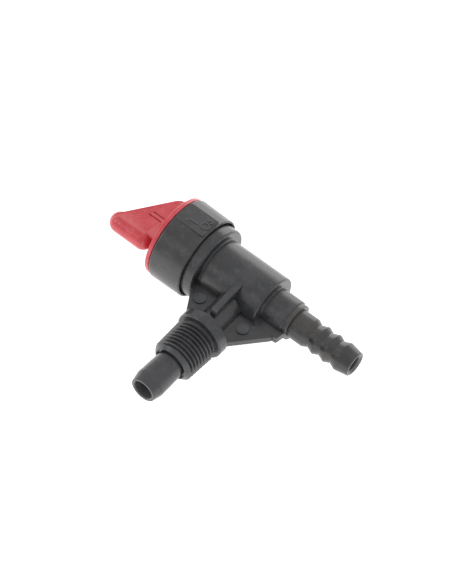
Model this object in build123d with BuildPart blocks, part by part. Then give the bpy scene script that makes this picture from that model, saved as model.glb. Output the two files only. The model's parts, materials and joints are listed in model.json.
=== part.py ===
from build123d import *
import math
import os

# A small moulded quarter-turn shut-off tap with a side inlet and an end outlet.
# Sizes are in millimetres. The frame's origin is on the inlet thread's axis, on the front face of its
# collar. The inlet points along -Y, and the knob's turning axis runs along +X, from knob to hose barb.
# Stations called *_x are places along the turning axis, counted from the inlet's centre line. Those
# called *_out are distances out along the inlet from its collar.

# Clearances
running = 0.05  # radial, plug in chamber
seated = 0.02  # between pieces that are fixed together
face_gap = 0.10  # between the knob's disc and the cap

# Chamber and plug
chamber_r = 5.6
floor_x = 5.0
mouth_chamfer = 0.4
port_r = 2.0
shoulder_x = -17.1

# Body, turned about the turning axis
axis_to_seat = 17.0  # from the turning axis to the collar's front face
mouth_x = -18.7
flange_end_x = -9.1
flange_r = 8.95
barrel_end_x = 6.6
barrel_r = 6.85
hub_end_x = 12.3
hub_r = 4.65
snap_bead_h = 0.18
snap_bead_w = 1.2
snap_bead_x = -15.4

# Inlet
boss_r = 3.3
collar_r = 5.9
collar_len = 2.6
inlet_bore_r = 2.1
nozzle_bore_r = 2.4
nozzle_bore_out = 1.0  # where the wider nozzle bore starts
nozzle_bore_step = 0.5
nozzle_mouth_chamfer = 0.2
nozzle_tip_out = 18.4
nozzle_full_out = 16.0
nozzle_root_r = 3.38
nozzle_full_r = 3.6
nozzle_tip_r = 3.05
recess_r = 3.85
recess_depth = 0.5

# Tapered pipe thread, 27 to the inch on a taper of 1 in 16
thread_pitch = 25.4 / 27
thread_front_out = 9.4
thread_front_r = 5.08
thread_depth = 0.6
thread_chamfer = 0.95
relief_len = 0.75
half_taper = 1 / 32

# Stiffening webs
web_t = 1.5
rib_t = 1.5
ejector_pad_r = 1.45
ejector_pad_h = 0.25
ejector_pad_x = 6.0
ejector_pad_y = -9.5
rib_top_y = -3.2
rib_top_z = 6.0
rib_end_z = 4.95
rib_end_gap = 1.8  # between the rib's rounded end and the collar
rib_end_round = 1.2
pad_half_z = 0.85
pad_len_x = 1.7
pad_slant = 0.4
pad_out = 6.7

# Retaining cap
cap_front_t = 1.6
cap_end_x = -11.8
cap_wall = 1.1
cap_wall_end = 0.9
cap_flat_half_w = 2.85
cap_turn = 5.0  # how far round the cap's flats sit from level
cap_mouth_chamfer = 0.45
stem_r = 3.0
mark_w = 0.4
mark_h = 0.12
panel_h = 0.12
panel_end_gap = 0.5
bar_mark_at = (3.9, -0.9)  # marks are placed from the cap's front face
bar_mark_len = 2.4
ring_mark_at = (6.6, -0.2)
ring_mark_r = 1.1
tick_marks_at = ((6.4, 1.6), (7.1, 1.4))
tick_mark_len = 0.9
tick_mark_lean = 60

# Stop lug on the plug, in a pocket in the body's mouth
turn = 90.0
lug_angle = 30.0
lug_start = 100.0
lug_rise = 1.3
lug_len = 2.0

# Knob
disc_inset = 0.25  # how far the disc's rim sits in from the cap's
disc_t = 1.1
grip_plate_t = 4.8
grip_bar_r = 2.5
grip_bar_y = -5.2  # the bar's centre line, from the turning axis
grip_bar_foot = 4.2  # the centres of the bar's round ends, from the disc
grip_bar_tip = 10.8
grip_tip_over = 1.2
grip_far = 7.3
grip_slope = 1.53
grip_far_round = 2.8
grip_slots_at = ((4.9, -0.6), (4.5, 0.5))  # from the disc and from the turning axis
grip_slot_len = 3.4
grip_slot_depth = 0.25
drive_square = 3.4
drive_len = 6.0
drive_chamfer = 0.3
drive_end_gap = 0.2

# Outlet hose barb
shank_r = 3.2
shank_len = 4.0
ring_r = 4.35
ring_len = 1.15
neck_r = 3.5
neck_len = 3.75
barb_count = 3
barb_pitch = 3.05
barb_rise = 1.65
valley_r = 2.85
barb_tip_r = 2.9
barb_tip_len = 3.25
outlet_bore_r = 1.95
outlet_mouth_r = 2.5

# O-rings and washers
front_ring_x = -7.0
rear_ring_x = 3.45
plug_ring_d = 1.3
outlet_ring_d = 0.9
port_seal_r = 2.7
port_seal_len = 1.3
washer_t = 0.6
spring_t = 0.35
groove_gap = 0.05  # each side of an O-ring in its groove
ring_gap = 0.03  # between a fitted ring and the chamber wall

# Worked-out sizes
plug_r = chamber_r - running
lug_r = chamber_r + lug_rise
cap_face_x = mouth_x - cap_front_t
cap_r = flange_r + cap_wall
cap_end_r = flange_r + cap_wall_end
disc_r = cap_r - disc_inset
disc_x = cap_face_x - face_gap
plug_end_x = floor_x - face_gap
counterbore_x = hub_end_x - shank_len - face_gap
outlet_passage_r = outlet_bore_r + 0.25
collar_back = -axis_to_seat + collar_len
spin_axis = Axis((0, axis_to_seat, 0), (1, 0, 0))
inlet_axis = Axis((0, 0, 0), (0, -1, 0))
level = Plane(origin=(0, axis_to_seat, 0), x_dir=(1, 0, 0), z_dir=(0, 0, 1))
inlet_level = Plane(origin=(0, 0, 0), x_dir=(0, -1, 0), z_dir=(0, 0, 1))
upright = Plane(origin=(0, axis_to_seat, 0), x_dir=(0, 1, 0), z_dir=(1, 0, 0))


def outline(plane, points, rounds=()):
    """A closed profile on a plane, with the named corners rounded."""
    with BuildSketch(plane) as face:
        with BuildLine():
            Polyline(*points, close=True)
        make_face()
        for corner, radius in rounds:
            fillet(face.vertices().sort_by_distance(corner)[0], radius)
    return face.sketch


def disc(plane, outer, inner=0.0):
    """A circle on a plane, with a hole in it if inner is given."""
    with BuildSketch(plane) as face:
        Circle(outer)
        if inner:
            Circle(inner, mode=Mode.SUBTRACT)
    return face.sketch


def sector(plane, inner, outer, start, angle):
    """Part of a ring between two radii, from a starting angle."""
    with BuildSketch(plane) as face:
        with BuildLine():
            rim = CenterArc((0, 0), outer, start, angle)
            root = CenterArc((0, 0), inner, start, angle)
            Line(root @ 0, rim @ 0)
            Line(root @ 1, rim @ 1)
        make_face()
    return face.sketch


def o_ring(centre_x, floor_r, section_d):
    """An O-ring round the turning axis, lying on a groove's floor."""
    with BuildPart() as ring:
        with BuildSketch(level):
            with Locations((centre_x, floor_r + section_d / 2)):
                Circle(section_d / 2)
        revolve(axis=spin_axis)
    return ring.part


def finish(part, name):
    """Label a piece and write it out."""
    part.label = name
    export_step(part, f"parts/{name}.step")


os.makedirs("parts", exist_ok=True)

# ---------------------------------------------------------------------------- pipe thread
thread_back_r = thread_front_r + (thread_front_out - relief_len) * half_taper
root_front_r = thread_front_r - thread_depth
root_back_r = thread_back_r - thread_depth
chamfer_r = thread_front_r - thread_chamfer
ridge_sink = 0.1
ridge_h = thread_depth + ridge_sink
crest_half = 0.05 * thread_pitch
base_half = crest_half + ridge_h * math.tan(math.radians(30))
spiral_start = relief_len - thread_pitch
with BuildLine() as spiral:
    Helix(
        pitch=thread_pitch,
        height=thread_front_out - spiral_start + thread_pitch,
        radius=root_back_r + thread_pitch * half_taper - ridge_sink,
        center=(0, -spiral_start, 0),
        direction=(0, -1, 0),
        cone_angle=-math.degrees(math.atan(half_taper)),
    )
with BuildPart() as pipe_thread:
    # The root cone runs on past both ends of the thread.
    overrun = 2 * thread_pitch
    root_cone = outline(
        inlet_level,
        [
            (relief_len - overrun, 0),
            (relief_len - overrun, root_back_r + overrun * half_taper),
            (thread_front_out + overrun, root_front_r - overrun * half_taper),
            (thread_front_out + overrun, 0),
        ],
    )
    revolve(root_cone, axis=inlet_axis)
    tooth = outline(
        Plane(origin=spiral.line @ 0, x_dir=(0, -1, 0), z_dir=spiral.line % 0),
        [(-base_half, 0), (base_half, 0), (crest_half, ridge_h), (-crest_half, ridge_h)],
    )
    sweep(tooth, path=spiral.line, is_frenet=True)
    # The front chamfer and the run-out behind trim the ridge and the cone.
    trim = outline(
        inlet_level,
        [
            (0, 0),
            (0, root_back_r),
            (relief_len, root_back_r),
            (relief_len + thread_depth, thread_back_r),
            (relief_len + thread_depth, thread_back_r + thread_chamfer),
            (thread_front_out - 2 * thread_chamfer, thread_front_r + thread_chamfer),
            (thread_front_out, chamfer_r),
            (thread_front_out, 0),
        ],
    )
    revolve(trim, axis=inlet_axis, mode=Mode.INTERSECT)

# ---------------------------------------------------------------------------- valve body
with BuildPart() as valve_body:
    # Flange, barrel and hub, with the snap bead that holds the cap
    bead_a = snap_bead_x - snap_bead_w / 2
    bead_b = snap_bead_x + snap_bead_w / 2
    shell = outline(
        level,
        [
            (mouth_x, 0),
            (mouth_x, flange_r),
            (bead_a, flange_r),
            (snap_bead_x, flange_r + snap_bead_h),
            (bead_b, flange_r),
            (flange_end_x, flange_r),
            (flange_end_x, barrel_r),
            (barrel_end_x, barrel_r),
            (barrel_end_x, hub_r),
            (hub_end_x, hub_r),
            (hub_end_x, 0),
        ],
        [
            ((mouth_x, flange_r), 0.4),
            ((flange_end_x, flange_r), 0.5),
            ((flange_end_x, barrel_r), 0.3),
            ((barrel_end_x, barrel_r), 0.35),
            ((barrel_end_x, hub_r), 0.25),
            ((hub_end_x, hub_r), 0.3),
        ],
    )
    revolve(shell, axis=spin_axis)
    # Webs on both sides of the boss, in the plane of the two axes
    webs = outline(
        level,
        [
            (flange_end_x - 0.5, 0),
            (flange_end_x - 0.5, -flange_r + 0.25),
            (flange_end_x, -flange_r + 0.25),
            (-collar_r + 0.1, collar_back),
            (-collar_r + 0.1, collar_back - 0.5),
            (collar_r - 0.1, collar_back - 0.5),
            (collar_r - 0.1, collar_back),
            (hub_end_x - 0.3, -pad_out - 0.3),
            (hub_end_x - 0.3, 0),
        ],
    )
    extrude(webs, amount=web_t / 2, both=True)
    with BuildSketch(level) as ejector_pads:
        with Locations((-ejector_pad_x, ejector_pad_y), (ejector_pad_x, ejector_pad_y)):
            Circle(ejector_pad_r)
    extrude(ejector_pads.sketch, amount=web_t / 2 + ejector_pad_h, both=True)
    # Foot pad at the far end of the web, past the hub's end
    foot = outline(
        level,
        [
            (hub_end_x - 0.6, -hub_r + 0.25),
            (hub_end_x - 0.6, -pad_out),
            (hub_end_x - 0.6 + pad_len_x - pad_slant, -pad_out),
            (hub_end_x - 0.6 + pad_len_x, -hub_r + 0.25),
        ],
        [((hub_end_x - 0.6 + pad_len_x - pad_slant, -pad_out), 0.5)],
    )
    extrude(foot, amount=pad_half_z, both=True)
    # Centre rib above and below the boss, from the barrel to just short of the collar
    rib_end_y = collar_back + rib_end_gap
    rib = outline(
        upright,
        [(rib_top_y, rib_top_z), (rib_end_y, rib_end_z), (rib_end_y, -rib_end_z), (rib_top_y, -rib_top_z)],
        [((rib_end_y, rib_end_z), rib_end_round), ((rib_end_y, -rib_end_z), rib_end_round)],
    )
    extrude(rib, amount=rib_t / 2, both=True)
    # Boss and collar
    inlet = outline(
        inlet_level,
        [
            (-axis_to_seat + 1.0, 0),
            (-axis_to_seat + 1.0, boss_r),
            (-collar_len, boss_r),
            (-collar_len, collar_r),
            (0, collar_r),
            (0, 0),
        ],
        [((-collar_len, collar_r), 0.25), ((0, collar_r), 0.45)],
    )
    revolve(inlet, axis=inlet_axis)
    # Thread, with a recess cored round the nozzle's root, and the nozzle
    add(pipe_thread.part)
    recess = outline(
        inlet_level,
        [
            (thread_front_out - recess_depth, 0),
            (thread_front_out - recess_depth, recess_r - 0.15),
            (thread_front_out, recess_r),
            (thread_front_out, 0),
        ],
    )
    revolve(recess, axis=inlet_axis, mode=Mode.SUBTRACT)
    nozzle = outline(
        inlet_level,
        [
            (thread_front_out - recess_depth - 1, 0),
            (thread_front_out - recess_depth - 1, nozzle_root_r),
            (thread_front_out - recess_depth, nozzle_root_r),
            (nozzle_full_out, nozzle_full_r),
            (nozzle_tip_out, nozzle_tip_r),
            (nozzle_tip_out, 0),
        ],
        [((nozzle_full_out, nozzle_full_r), 1.2), ((nozzle_tip_out, nozzle_tip_r), 0.2)],
    )
    revolve(nozzle, axis=inlet_axis)
    # Chamber, outlet passage and the hub's counterbore
    hollow = outline(
        level,
        [
            (mouth_x, 0),
            (mouth_x, chamber_r + mouth_chamfer),
            (mouth_x + mouth_chamfer, chamber_r),
            (floor_x, chamber_r),
            (floor_x, outlet_passage_r),
            (counterbore_x, outlet_passage_r),
            (counterbore_x, shank_r + seated),
            (hub_end_x, shank_r + seated),
            (hub_end_x, 0),
        ],
    )
    revolve(hollow, axis=spin_axis, mode=Mode.SUBTRACT)
    # Inlet passage, with the seat for the port seal
    seal_out = -chamber_r - port_seal_len
    passage = outline(
        inlet_level,
        [
            (-axis_to_seat, 0),
            (-axis_to_seat, port_seal_r + seated),
            (-axis_to_seat - seal_out, port_seal_r + seated),
            (-axis_to_seat - seal_out, inlet_bore_r),
            (nozzle_bore_out - nozzle_bore_step, inlet_bore_r),
            (nozzle_bore_out, nozzle_bore_r),
            (nozzle_tip_out - nozzle_mouth_chamfer, nozzle_bore_r),
            (nozzle_tip_out, nozzle_bore_r + nozzle_mouth_chamfer),
            (nozzle_tip_out, 0),
        ],
    )
    revolve(passage, axis=inlet_axis, mode=Mode.SUBTRACT)
    # Pocket for the stop lug
    pocket_plane = Plane(origin=(mouth_x, axis_to_seat, 0), x_dir=(0, 1, 0), z_dir=(1, 0, 0))
    pocket = sector(pocket_plane, chamber_r - 0.5, lug_r + 0.2, lug_start - 0.5, turn + lug_angle + 1.0)
    extrude(pocket, amount=shoulder_x + lug_len + face_gap - mouth_x, mode=Mode.SUBTRACT)
finish(valve_body.part, "valve_body")

# ---------------------------------------------------------------------------- retaining cap
with BuildPart() as retaining_cap:
    skirt_r = flange_r + running
    cup = outline(
        level,
        [
            (cap_face_x, stem_r + running),
            (cap_face_x, cap_r),
            (cap_end_x, cap_end_r),
            (cap_end_x, skirt_r + cap_mouth_chamfer),
            (cap_end_x - 2 * cap_mouth_chamfer, skirt_r),
            (bead_b + 0.1, skirt_r),
            (snap_bead_x, skirt_r + snap_bead_h),
            (bead_a - 0.1, skirt_r),
            (mouth_x, skirt_r),
            (mouth_x, stem_r + running),
        ],
        [((cap_face_x, cap_r), 0.5), ((cap_end_x, cap_end_r), 0.3)],
    )
    revolve(cup, axis=spin_axis)
    # A flat on the top and one below
    flat_z = math.sqrt(cap_r**2 - cap_flat_half_w**2)
    cap_level = level.rotated((-cap_turn, 0, 0))
    for side in (1, -1):
        with BuildSketch(cap_level.offset(side * flat_z)):
            with Locations(((cap_face_x + cap_end_x) / 2, 0)):
                Rectangle(cap_end_x - cap_face_x, 2 * cap_r)
        extrude(amount=side * cap_r, mode=Mode.SUBTRACT)
    # A thin raised panel on the top flat, with plain turn marks: a bar, a ring and two ticks
    with BuildSketch(cap_level.offset(flat_z - panel_h)):
        with Locations(((cap_face_x + cap_end_x) / 2, 0)):
            Rectangle(cap_end_x - cap_face_x - 2 * panel_end_gap, 2 * cap_flat_half_w)
    extrude(amount=2 * panel_h)
    with BuildSketch(cap_level.offset(flat_z + panel_h)):
        with Locations((cap_face_x + bar_mark_at[0], bar_mark_at[1])):
            Rectangle(bar_mark_len, mark_w)
        with Locations((cap_face_x + ring_mark_at[0], ring_mark_at[1])):
            Circle(ring_mark_r)
            Circle(ring_mark_r - mark_w, mode=Mode.SUBTRACT)
        for along, across in tick_marks_at:
            with Locations((cap_face_x + along, across)):
                Rectangle(tick_mark_len, mark_w, rotation=tick_mark_lean)
    extrude(amount=mark_h)
finish(retaining_cap.part, "retaining_cap")

# ---------------------------------------------------------------------------- plug
ring_floor_r = chamber_r - ring_gap - plug_ring_d
groove_half = plug_ring_d / 2 + groove_gap
with BuildPart() as rotor:
    plug = outline(
        level,
        [
            (plug_end_x, 0),
            (plug_end_x, plug_r),
            (shoulder_x, plug_r),
            (shoulder_x, stem_r),
            (disc_x, stem_r),
            (disc_x, 0),
        ],
    )
    revolve(plug, axis=spin_axis)
    for ring_x in (front_ring_x, rear_ring_x):
        groove = outline(
            level,
            [
                (ring_x - groove_half, ring_floor_r),
                (ring_x + groove_half, ring_floor_r),
                (ring_x + groove_half, plug_r + 1),
                (ring_x - groove_half, plug_r + 1),
            ],
        )
        revolve(groove, axis=spin_axis, mode=Mode.SUBTRACT)
    # Square drive for the knob
    with BuildSketch(Plane(origin=(disc_x, axis_to_seat, 0), x_dir=(0, 1, 0), z_dir=(-1, 0, 0))):
        Rectangle(drive_square, drive_square)
    extrude(amount=drive_len)
    chamfer(rotor.faces().sort_by(Axis.X)[0].edges(), drive_chamfer)
    # Stop lug
    lug_plane = Plane(origin=(shoulder_x, axis_to_seat, 0), x_dir=(0, 1, 0), z_dir=(1, 0, 0))
    extrude(sector(lug_plane, plug_r - 0.6, lug_r, lug_start, lug_angle), amount=lug_len)
    # The turned water way: in from the side, out of the end
    with BuildSketch(Plane(origin=(0, axis_to_seat, 0), x_dir=(1, 0, 0), z_dir=(0, -1, 0))):
        Circle(port_r)
    extrude(amount=plug_r + 1, mode=Mode.SUBTRACT)
    with BuildSketch(Plane(origin=(-port_r, axis_to_seat, 0), x_dir=(0, 1, 0), z_dir=(1, 0, 0))):
        Circle(port_r)
    extrude(amount=plug_end_x + port_r, mode=Mode.SUBTRACT)
finish(rotor.part, "rotor")

finish(o_ring(front_ring_x, ring_floor_r, plug_ring_d), "front_o_ring")
finish(o_ring(rear_ring_x, ring_floor_r, plug_ring_d), "rear_o_ring")

# ---------------------------------------------------------------------------- port seal
with BuildPart() as port_seal:
    seal = outline(
        inlet_level,
        [
            (-axis_to_seat + chamber_r - 1.5, port_r),
            (-axis_to_seat + chamber_r - 1.5, port_seal_r),
            (-axis_to_seat - seal_out, port_seal_r),
            (-axis_to_seat - seal_out, port_r),
        ],
    )
    revolve(seal, axis=inlet_axis)
    saddle = disc(Plane(origin=(-8, axis_to_seat, 0), x_dir=(0, 1, 0), z_dir=(1, 0, 0)), chamber_r)
    extrude(saddle, amount=16, mode=Mode.SUBTRACT)
finish(port_seal.part, "port_seal")

# ---------------------------------------------------------------------------- washer and spring
washer_outer_r = plug_r - 0.25
with BuildPart() as thrust_washer:
    washer_plane = Plane(origin=(shoulder_x - seated, axis_to_seat, 0), x_dir=(0, 1, 0), z_dir=(-1, 0, 0))
    extrude(disc(washer_plane, washer_outer_r, stem_r + 0.1), amount=washer_t)
finish(thrust_washer.part, "thrust_washer")

with BuildPart() as disc_spring:
    washer_x = shoulder_x - seated - washer_t
    cone = outline(
        level,
        [
            (mouth_x, stem_r + 0.25),
            (mouth_x + spring_t, stem_r + 0.25),
            (washer_x, washer_outer_r - 0.1),
            (washer_x - spring_t, washer_outer_r - 0.1),
        ],
    )
    revolve(cone, axis=spin_axis)
finish(disc_spring.part, "disc_spring")

# ---------------------------------------------------------------------------- knob
back_x = disc_x - disc_t
bar_tip_x = back_x - grip_bar_tip
bar_foot_x = back_x - grip_bar_foot
plate_tip_x = bar_tip_x - grip_tip_over
plate_far_x = plate_tip_x + (grip_far - grip_bar_y) / grip_slope
with BuildPart() as knob:
    rim = outline(
        level,
        [(disc_x, 0), (disc_x, disc_r), (disc_x - disc_t, disc_r), (disc_x - disc_t, 0)],
        [((disc_x, disc_r), 0.15), ((disc_x - disc_t, disc_r), 0.3)],
    )
    revolve(rim, axis=spin_axis)
    # The grip is a plate in the plane of the two axes. One edge is a round bar with domed ends, and the
    # other slopes down to the disc's far side.
    plate = outline(
        level,
        [
            (disc_x - 0.2, grip_bar_y),
            (plate_tip_x, grip_bar_y),
            (plate_far_x, grip_far),
            (disc_x - 0.2, grip_far),
        ],
        [((plate_far_x, grip_far), grip_far_round)],
    )
    extrude(plate, amount=grip_plate_t / 2, both=True)
    with Locations(((bar_foot_x + bar_tip_x) / 2, axis_to_seat + grip_bar_y, 0)):
        Cylinder(grip_bar_r, bar_foot_x - bar_tip_x, rotation=(0, 90, 0))
    for dome_x in (bar_foot_x, bar_tip_x):
        with Locations((dome_x, axis_to_seat + grip_bar_y, 0)):
            Sphere(grip_bar_r)
    # Two plain incised bars on each face of the grip
    for side in (1, -1):
        with BuildSketch(Plane.XY.offset(side * grip_plate_t / 2)):
            for along, across in grip_slots_at:
                with Locations((back_x - along, axis_to_seat + across)):
                    SlotOverall(grip_slot_len, mark_w)
        extrude(amount=-side * grip_slot_depth, mode=Mode.SUBTRACT)
    # Socket for the square drive
    socket = drive_square + 2 * seated
    with BuildSketch(Plane(origin=(disc_x, axis_to_seat, 0), x_dir=(0, 1, 0), z_dir=(-1, 0, 0))):
        Rectangle(socket, socket)
    extrude(amount=drive_len + drive_end_gap, mode=Mode.SUBTRACT)
finish(knob.part, "knob")

# ---------------------------------------------------------------------------- outlet hose barb
with BuildPart() as outlet_barb:
    shank_x = hub_end_x - shank_len
    ring_end_x = hub_end_x + ring_len
    neck_end_x = ring_end_x + neck_len
    barbs = []
    for count in range(barb_count):
        peak_x = neck_end_x + barb_pitch * (count + 1) - 0.1
        barbs.append((peak_x - barb_rise, valley_r))
        barbs.append((peak_x, neck_r))
    tip_x = peak_x + barb_tip_len
    stem = outline(
        level,
        [
            (shank_x, 0),
            (shank_x, shank_r),
            (hub_end_x, shank_r),
            (hub_end_x, ring_r),
            (ring_end_x, ring_r),
            (ring_end_x, neck_r),
            (neck_end_x, neck_r),
            *barbs,
            (tip_x, barb_tip_r),
            (tip_x, 0),
        ],
        [
            ((ring_end_x, ring_r), 0.2),
            ((tip_x, barb_tip_r), 0.25),
            *[(point, 0.3) for point in barbs],
        ],
    )
    revolve(stem, axis=spin_axis)
    outlet_floor_r = shank_r + seated - outlet_ring_d - 0.01
    outlet_ring_x = hub_end_x - shank_len / 2
    outlet_groove_half = outlet_ring_d / 2 + groove_gap
    groove = outline(
        level,
        [
            (outlet_ring_x - outlet_groove_half, outlet_floor_r),
            (outlet_ring_x + outlet_groove_half, outlet_floor_r),
            (outlet_ring_x + outlet_groove_half, shank_r + 1),
            (outlet_ring_x - outlet_groove_half, shank_r + 1),
        ],
    )
    revolve(groove, axis=spin_axis, mode=Mode.SUBTRACT)
    with BuildSketch(Plane(origin=(shank_x, axis_to_seat, 0), x_dir=(0, 1, 0), z_dir=(1, 0, 0))):
        Circle(outlet_bore_r)
    extrude(amount=tip_x - shank_x, mode=Mode.SUBTRACT)
    mouth_edge = outlet_barb.edges().filter_by(GeomType.CIRCLE).sort_by(Axis.X)[-1]
    chamfer(mouth_edge, outlet_mouth_r - outlet_bore_r)
finish(outlet_barb.part, "outlet_barb")
finish(o_ring(outlet_ring_x, outlet_floor_r, outlet_ring_d), "outlet_o_ring")
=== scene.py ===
import json
import math

import bpy
from mathutils import Matrix, Vector


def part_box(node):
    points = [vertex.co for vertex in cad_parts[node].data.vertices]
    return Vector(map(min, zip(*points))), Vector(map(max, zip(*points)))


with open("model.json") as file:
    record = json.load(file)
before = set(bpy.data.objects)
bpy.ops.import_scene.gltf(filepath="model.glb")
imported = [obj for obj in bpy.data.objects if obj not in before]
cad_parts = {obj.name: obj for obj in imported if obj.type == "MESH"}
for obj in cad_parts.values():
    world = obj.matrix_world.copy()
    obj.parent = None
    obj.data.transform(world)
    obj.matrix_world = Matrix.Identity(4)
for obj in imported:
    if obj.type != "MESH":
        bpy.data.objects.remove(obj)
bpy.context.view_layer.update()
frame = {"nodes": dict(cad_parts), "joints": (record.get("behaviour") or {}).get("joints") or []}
mm = 0.001

# The origin is the seat of the inlet's collar, and the knob turns about a line along X.
turning_axis = Vector(frame["joints"][0]["pos_m"])
crossing = Vector((0.0, turning_axis.y, 0.0))
cap_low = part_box("retaining_cap")[0]


# ---------------------------------------------------------------- camera
def place_camera(azimuth, elevation, roll, distance, lens, beside, below):
    """A long-lens camera with the crossing of the two axes beside and below its centre."""
    az, el, ro = (math.radians(angle) for angle in (azimuth, elevation, roll))
    towards = Vector((math.sin(az) * math.cos(el), -math.cos(az) * math.cos(el), math.sin(el)))
    level_right = Vector((math.cos(az), math.sin(az), 0.0))
    level_up = towards.cross(level_right)
    right = math.cos(ro) * level_right + math.sin(ro) * level_up
    up = -math.sin(ro) * level_right + math.cos(ro) * level_up
    data = bpy.data.cameras.new("camera")
    data.sensor_fit = "HORIZONTAL"
    data.sensor_width = 36.0
    data.lens = lens
    data.clip_start, data.clip_end = 0.01, 20.0
    camera = bpy.data.objects.new("camera", data)
    bpy.context.scene.collection.objects.link(camera)
    turned = Matrix((right, up, towards)).transposed().to_4x4()
    stand = crossing + distance * towards - beside * right - below * up
    camera.matrix_world = Matrix.Translation(stand) @ turned
    bpy.context.scene.camera = camera


place_camera(34.2, 54.7, 6.65, distance=0.575, lens=210.7, beside=4.93 * mm, below=0.67 * mm)


# ---------------------------------------------------------------- shader maths
class Value:
    """A shader socket that adds, subtracts and multiplies like a number."""

    def __init__(self, tree, socket):
        self.tree, self.socket = tree, socket

    def node(self, kind, settings=None, sockets=None):
        """Any node: its settings first, then the values or links of its sockets, by name or number."""
        made = self.tree.nodes.new(kind)
        for name, setting in (settings or {}).items():
            setattr(made, name, setting)
        for name, given in (sockets or {}).items():
            if isinstance(given, Value):
                self.tree.links.new(given.socket, made.inputs[name])
            else:
                made.inputs[name].default_value = given
        return made

    def read(self, kind, output, settings=None, sockets=None):
        return Value(self.tree, self.node(kind, settings, sockets).outputs[output])

    def maths(self, operation, *terms):
        return self.read("ShaderNodeMath", 0, {"operation": operation}, dict(enumerate(terms)))

    def vector_maths(self, operation, output, *terms):
        return self.read("ShaderNodeVectorMath", output, {"operation": operation}, dict(enumerate(terms)))

    def __add__(self, other):
        return self.maths("ADD", self, other)

    def __sub__(self, other):
        return self.maths("SUBTRACT", self, other)

    def __rsub__(self, other):
        return self.maths("SUBTRACT", other, self)

    def __mul__(self, other):
        return self.maths("MULTIPLY", self, other)

    __radd__, __rmul__ = __add__, __mul__

    def rise(self, low, high):
        """0 below low, 1 above high, and a smooth change between them."""
        sockets = {"Value": self, "From Min": low, "From Max": high}
        return self.read("ShaderNodeMapRange", "Result", {"interpolation_type": "SMOOTHSTEP"}, sockets)

    def noise(self, size, detail=3.0, rough=0.5, stretch=(1.0, 1.0, 1.0)):
        """Noise over this place, in lumps about size metres across."""
        spread = self.read("ShaderNodeMapping", "Vector", None, {"Vector": self, "Scale": stretch})
        sockets = {"Vector": spread, "Scale": 1.0 / size, "Detail": detail, "Roughness": rough}
        return self.read("ShaderNodeTexNoise", "Fac", None, sockets)

    def tint(self, first, second):
        """This much of the second colour over the first."""
        sockets = {0: self}
        for name, colour in ((6, first), (7, second)):
            sockets[name] = colour if isinstance(colour, Value) else (*colour, 1.0)
        return self.read("ShaderNodeMix", 2, {"data_type": "RGBA"}, sockets)


def start_material(name):
    material = bpy.data.materials.new(name)
    material.use_nodes = True
    tree = material.node_tree
    place = Value(tree, tree.nodes.new("ShaderNodeTexCoord").outputs["Object"])
    return material, tree.nodes["Principled BSDF"], place


def feed(shader, **sockets):
    for name, value in sockets.items():
        shader.id_data.links.new(value.socket, shader.inputs[name.replace("_", " ")])


def inside(place, bore_axis, radius, start):
    """1 inside a bore that runs out along bore_axis from start past the crossing, and 0 elsewhere."""
    across = tuple(1.0 - abs(part) for part in bore_axis)
    from_crossing = place.vector_maths("SUBTRACT", 0, place, tuple(crossing))
    flat = place.vector_maths("MULTIPLY", 0, from_crossing, across)
    reach = place.vector_maths("LENGTH", "Value", flat)
    along = place.vector_maths("DOT_PRODUCT", "Value", from_crossing, bore_axis)
    return (1.0 - reach.rise(radius, radius + bore_edge)) * along.rise(start, start + bore_fade)


def moulded(name, base, cloud_tint, worn_tint, rough, grain=0.3, rub=0.4, bore=None):
    """Moulded plastic: clouded colour, uneven satin, fine grain, sparse nicks and rubbed edges.

    A bore is a hole whose walls get painted light, a paler colour standing in for light reaching into it,
    given by its axis, its radius and how far out it starts.
    """
    material, shader, place = start_material(name)
    clouds = place.noise(5 * mm, 4.0, 0.6)
    flow = place.noise(1.4 * mm, 5.0, 0.62)
    speck = place.noise(0.25 * mm, 2.0, 0.5)
    nick = place.noise(0.7 * mm, 1.0, 0.5).rise(0.735, 0.78)
    edge = place.read("ShaderNodeNewGeometry", "Pointiness").rise(0.52, 0.60)
    colour = clouds.rise(0.4, 0.62).tint(base, cloud_tint)
    colour = (flow.rise(0.5, 0.75) * 0.3).tint(colour, worn_tint)
    colour = (edge * rub).tint(colour, worn_tint)
    colour = (nick * 0.25).tint(colour, worn_tint)
    # Painted light: the walls inside the bore are tinted paler grey, standing in for light reaching into the
    # hole
    if bore:
        colour = inside(place, *bore).tint(colour, painted_bore_light)
    gloss = rough + (clouds - 0.5) * 0.25 + (flow - 0.5) * 0.2 + edge * 0.05
    height = flow * 0.5 + speck * 0.35 - nick * 0.3
    sockets = {"Height": height, "Strength": grain, "Distance": 0.05 * mm}
    bump = place.read("ShaderNodeBump", 0, None, sockets)
    feed(shader, Base_Color=colour, Roughness=gloss, Normal=bump)
    return material


# How sharply the painted light in a bore ends at the wall, and how gently it starts along the bore
bore_edge = 0.15 * mm
bore_fade = 0.5 * mm
# Painted light: the grey given to a bore's walls, as if lit
painted_bore_light = (0.095, 0.093, 0.094)
nozzle_bore = ((0, -1, 0), 2.65 * mm, 26.4 * mm)
barb_bore = ((1, 0, 0), 2.45 * mm, 12.3 * mm)

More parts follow.
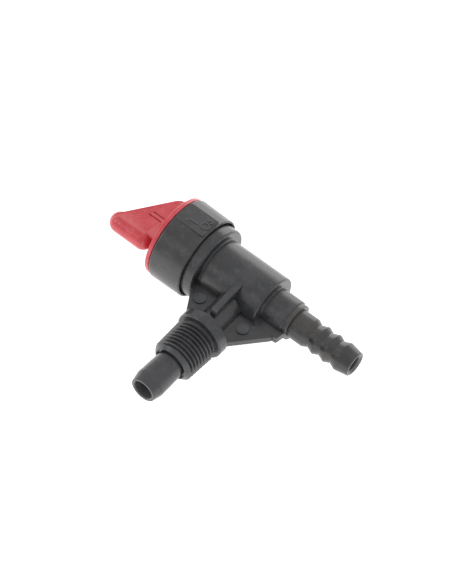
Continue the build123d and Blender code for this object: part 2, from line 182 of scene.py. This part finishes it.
# Plastic colours: the base, its clouds, and where it is rubbed
black, ash, scuff = (0.022, 0.0225, 0.0245), (0.034, 0.0345, 0.037), (0.090, 0.092, 0.098)
cap_black = (0.027, 0.0265, 0.0265)
barb_black, barb_ash = (0.025, 0.024, 0.024), (0.042, 0.038, 0.035)
knob_red = ((0.47, 0.036, 0.048), (0.52, 0.052, 0.064), (0.60, 0.16, 0.17))
plug_cream = ((0.72, 0.71, 0.67), (0.66, 0.64, 0.58), (0.80, 0.79, 0.76))
washer_cream = ((0.76, 0.75, 0.72), (0.70, 0.68, 0.63), (0.83, 0.82, 0.80))
materials = {
    "valve_body": moulded("body_moulding", black, ash, scuff, 0.27, bore=nozzle_bore),
    "retaining_cap": moulded("cap_moulding", cap_black, ash, scuff, 0.29),
    "outlet_barb": moulded("barb_moulding", barb_black, barb_ash, scuff, 0.28, bore=barb_bore),
    "knob": moulded("knob_moulding", *knob_red, 0.27, grain=0.2),
    "rotor": moulded("plug_acetal", *plug_cream, 0.42),
    "thrust_washer": moulded("washer_acetal", *washer_cream, 0.40),
}


def nitrile():
    """Matt nitrile rubber with a faint bloom."""
    material, shader, place = start_material("nitrile")
    bloom = place.noise(1.2 * mm, 4.0, 0.6)
    colour = bloom.rise(0.45, 0.7).tint((0.016, 0.016, 0.017), (0.032, 0.032, 0.031))
    sockets = {"Height": place.noise(0.2 * mm), "Strength": 0.2, "Distance": 0.03 * mm}
    bump = place.read("ShaderNodeBump", 0, None, sockets)
    feed(shader, Base_Color=colour, Roughness=0.62 + bloom * 0.15, Normal=bump)
    return material


def rolled_spring_steel():
    """Thin rolled stainless strip with a fine grain across it."""
    material, shader, place = start_material("spring_steel")
    rolled = place.noise(0.3 * mm, 3.0, 0.6, stretch=(1.0, 6.0, 1.0))
    colour = rolled.tint((0.50, 0.50, 0.51), (0.64, 0.63, 0.61))
    sockets = {"Height": rolled, "Strength": 0.15, "Distance": 0.02 * mm}
    bump = place.read("ShaderNodeBump", 0, None, sockets)
    feed(shader, Base_Color=colour, Roughness=0.24 + rolled * 0.14, Normal=bump)
    shader.inputs["Metallic"].default_value = 1.0
    return material


rubber = nitrile()
for ring in ("front_o_ring", "rear_o_ring", "outlet_o_ring", "port_seal"):
    materials[ring] = rubber
materials["disc_spring"] = rolled_spring_steel()
for node, material in materials.items():
    slots = frame["nodes"][node].data.materials
    slots.clear()
    slots.append(material)


# ---------------------------------------------------------------- floor and light
def paper_floor(height, half):
    mesh = bpy.data.meshes.new("floor")
    corners = [(-half, -half), (half, -half), (half, half), (-half, half)]
    mesh.from_pydata([(*corner, height) for corner in corners], [], [(0, 1, 2, 3)])
    floor = bpy.data.objects.new("floor", mesh)
    bpy.context.scene.collection.objects.link(floor)
    material, shader, place = start_material("white_paper")
    fibre = place.noise(0.6 * mm, 3.0, 0.6)
    feed(shader, Base_Color=fibre.tint((0.93, 0.93, 0.93), (0.95, 0.95, 0.95)), Roughness=0.85 + fibre * 0.1)
    shader.inputs["Emission Color"].default_value = (1.0, 1.0, 1.0, 1.0)
    shader.inputs["Emission Strength"].default_value = 0.8
    mesh.materials.append(material)


def soft_light(name, place, width, height, power):
    data = bpy.data.lights.new(name, "AREA")
    data.shape, data.size, data.size_y, data.energy = "RECTANGLE", width, height, power
    light = bpy.data.objects.new(name, data)
    bpy.context.scene.collection.objects.link(light)
    light.location = place
    light.rotation_euler = (crossing - Vector(place)).to_track_quat("-Z", "Y").to_euler()


def studio_tent(bright, dim):
    """A white tent all round, with a dimmer opening in front, above table height."""
    world = bpy.data.worlds.new("studio")
    world.use_nodes = True
    tree = world.node_tree
    direction = Value(tree, tree.nodes.new("ShaderNodeTexCoord").outputs["Generated"])
    forward = direction.read("ShaderNodeSeparateXYZ", "Y", None, {0: direction})
    upward = direction.read("ShaderNodeSeparateXYZ", "Z", None, {0: direction})
    opening = (0.0 - forward).rise(0.0, 0.6) * upward.rise(0.05, 0.35)
    strength = bright - opening * (bright - dim)
    tree.links.new(strength.socket, tree.nodes["Background"].inputs["Strength"])
    tree.nodes["Background"].inputs["Color"].default_value = (1.0, 1.0, 1.0, 1.0)
    bpy.context.scene.world = world


floor_gap = 0.2 * mm
floor_half = 1.5
paper_floor(cap_low.z - floor_gap, floor_half)
soft_light("left_light", (-0.50, -0.50, 0.45), 0.30, 0.30, 1.0)
soft_light("back_light", (-0.40, 1.10, 0.28), 1.4, 0.55, 4.5)
studio_tent(1.05, 0.8)
bpy.context.scene.view_settings.view_transform = "Standard"
